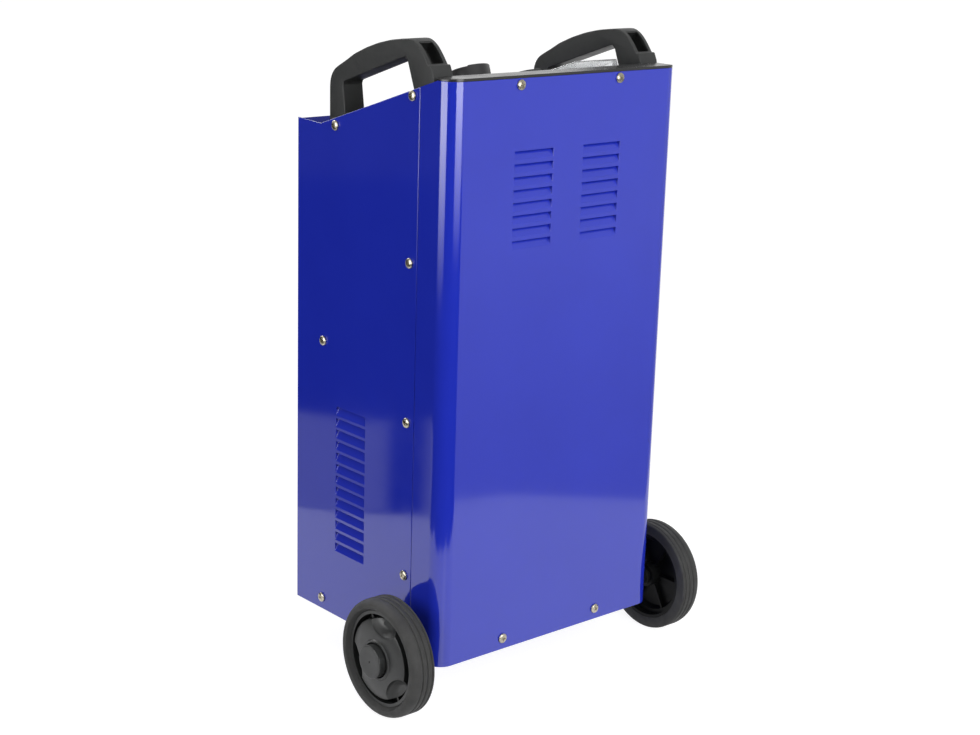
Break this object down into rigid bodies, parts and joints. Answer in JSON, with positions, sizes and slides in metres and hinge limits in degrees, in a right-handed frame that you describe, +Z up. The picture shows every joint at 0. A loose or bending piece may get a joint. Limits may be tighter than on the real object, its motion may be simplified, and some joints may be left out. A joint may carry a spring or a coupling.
{
  "type": "car battery charger",
  "caption": "Tall trolley battery charger: upright sheet-steel cabinet on wheels, with louvres, hand grips and a sloping control panel.",
  "frame": {"origin": "on the floor, under the middle of the box round the whole object", "axes": "+Z up; +Y towards the rear, where the wheels are; +X to the left as seen from behind, along the axle"},
  "size_m": [0.436, 0.3006, 0.6842],
  "materials": {
    "blue_powder_coat": "glossy blue powder coat on sheet steel",
    "black_powder_coat": "satin black powder coat",
    "black_plastic": "fine-grained moulded black plastic",
    "tyre_rubber": "black solid rubber tread",
    "pad_rubber": "soft black rubber",
    "zinc_screw": "bright zinc plating",
    "bright_steel": "drawn steel bar",
    "core_steel": "varnished laminations",
    "copper_winding": null,
    "heat_sink": "plain aluminium",
    "dial_white": "printed white scale",
    "needle_red": "painted needle",
    "clear_cover": "clear moulded cover",
    "lamp_amber": "amber lens"
  },
  "bodies": {
    "cabinet": {"side_cover_left": "blue_powder_coat", "side_cover_right": "blue_powder_coat", "rear_cover": "blue_powder_coat", "front_panel": "blue_powder_coat", "base_pan": "blue_powder_coat", "control_panel": "black_powder_coat", "hand_grip_left": "black_plastic", "hand_grip_right": "black_plastic", "wheel_spacer_left": "black_plastic", "wheel_spacer_right": "black_plastic", "front_foot_left": "black_plastic", "front_foot_right": "black_plastic", "charge_switch": "black_plastic", "power_switch_body": "black_plastic", "voltage_switch_body": "black_plastic", "meter_case": "black_plastic", "breaker_body": "black_plastic", "mains_gland": "black_plastic", "positive_lead_gland": "black_plastic", "negative_lead_gland": "black_plastic", "foot_pad_left": "pad_rubber", "foot_pad_right": "pad_rubber", "side_screw_left_1": "zinc_screw", "side_screw_left_2": "zinc_screw", "side_screw_left_3": "zinc_screw", "side_screw_left_4": "zinc_screw", "side_screw_left_5": "zinc_screw", "side_screw_left_6": "zinc_screw", "side_screw_left_7": "zinc_screw", "side_screw_right_1": "zinc_screw", "side_screw_right_2": "zinc_screw", "side_screw_right_3": "zinc_screw", "side_screw_right_4": "zinc_screw", "side_screw_right_5": "zinc_screw", "side_screw_right_6": "zinc_screw", "side_screw_right_7": "zinc_screw", "rear_screw_1": "zinc_screw", "rear_screw_2": "zinc_screw", "rear_screw_3": "zinc_screw", "rear_screw_4": "zinc_screw", "axle": "bright_steel", "transformer_core": "core_steel", "transformer_winding": "copper_winding", "rectifier_plate": "heat_sink", "timer_body": "heat_sink", "meter_dial": "dial_white", "meter_cover": "clear_cover", "charge_lamp": "lamp_amber"},
    "wheel_left": {"tyre_left": "tyre_rubber", "wheel_rim_left": "black_plastic", "hub_cap_left": "black_plastic"},
    "wheel_right": {"tyre_right": "tyre_rubber", "wheel_rim_right": "black_plastic", "hub_cap_right": "black_plastic"},
    "charge_knob": {"charge_knob": "black_plastic"},
    "timer_knob": {"timer_knob": "black_plastic"},
    "power_rocker": {"power_rocker": "black_plastic"},
    "voltage_rocker": {"voltage_rocker": "black_plastic"},
    "meter_needle": {"meter_needle": "needle_red"},
    "breaker_button": {"breaker_button": "black_plastic"}
  },
  "joints": [
    {"name": "wheel_left_spin", "type": "hinge", "parent": "cabinet", "child": "wheel_left", "pos_m": [0.19335, 0.0878, 0.0625], "axis": [1, 0, 0], "continuous": true},
    {"name": "wheel_right_spin", "type": "hinge", "parent": "cabinet", "child": "wheel_right", "pos_m": [-0.19335, 0.0878, 0.0625], "axis": [1, 0, 0], "continuous": true},
    {"name": "charge_knob_turn", "type": "hinge", "parent": "cabinet", "child": "charge_knob", "pos_m": [0.058, 0.04136, 0.62749], "axis": [0, -0.3176, 0.9482], "range_deg": [-150, 0]},
    {"name": "timer_knob_turn", "type": "hinge", "parent": "cabinet", "child": "timer_knob", "pos_m": [-0.061, -0.00605, 0.61161], "axis": [0, -0.3176, 0.9482], "range_deg": [-300, 0]},
    {"name": "power_rocker_tip", "type": "hinge", "parent": "cabinet", "child": "power_rocker", "pos_m": [0.058, -0.03333, 0.6049], "axis": [0, 0.9482, 0.3176], "range_deg": [-20, 0]},
    {"name": "voltage_rocker_tip", "type": "hinge", "parent": "cabinet", "child": "voltage_rocker", "pos_m": [-0.005, 0.0027, 0.61697], "axis": [0, 0.9482, 0.3176], "range_deg": [-20, 0]},
    {"name": "needle_swing", "type": "hinge", "parent": "cabinet", "child": "meter_needle", "pos_m": [-0.0725, 0.04043, 0.63351], "axis": [0, -0.3176, 0.9482], "range_deg": [-90, 0], "stiffness_Nm_per_rad": 0.0005},
    {"name": "breaker_button_pop", "type": "slide", "parent": "cabinet", "child": "breaker_button", "axis": [0, -0.3176, 0.9482], "range_m": [0, 0.004]}
  ]
}
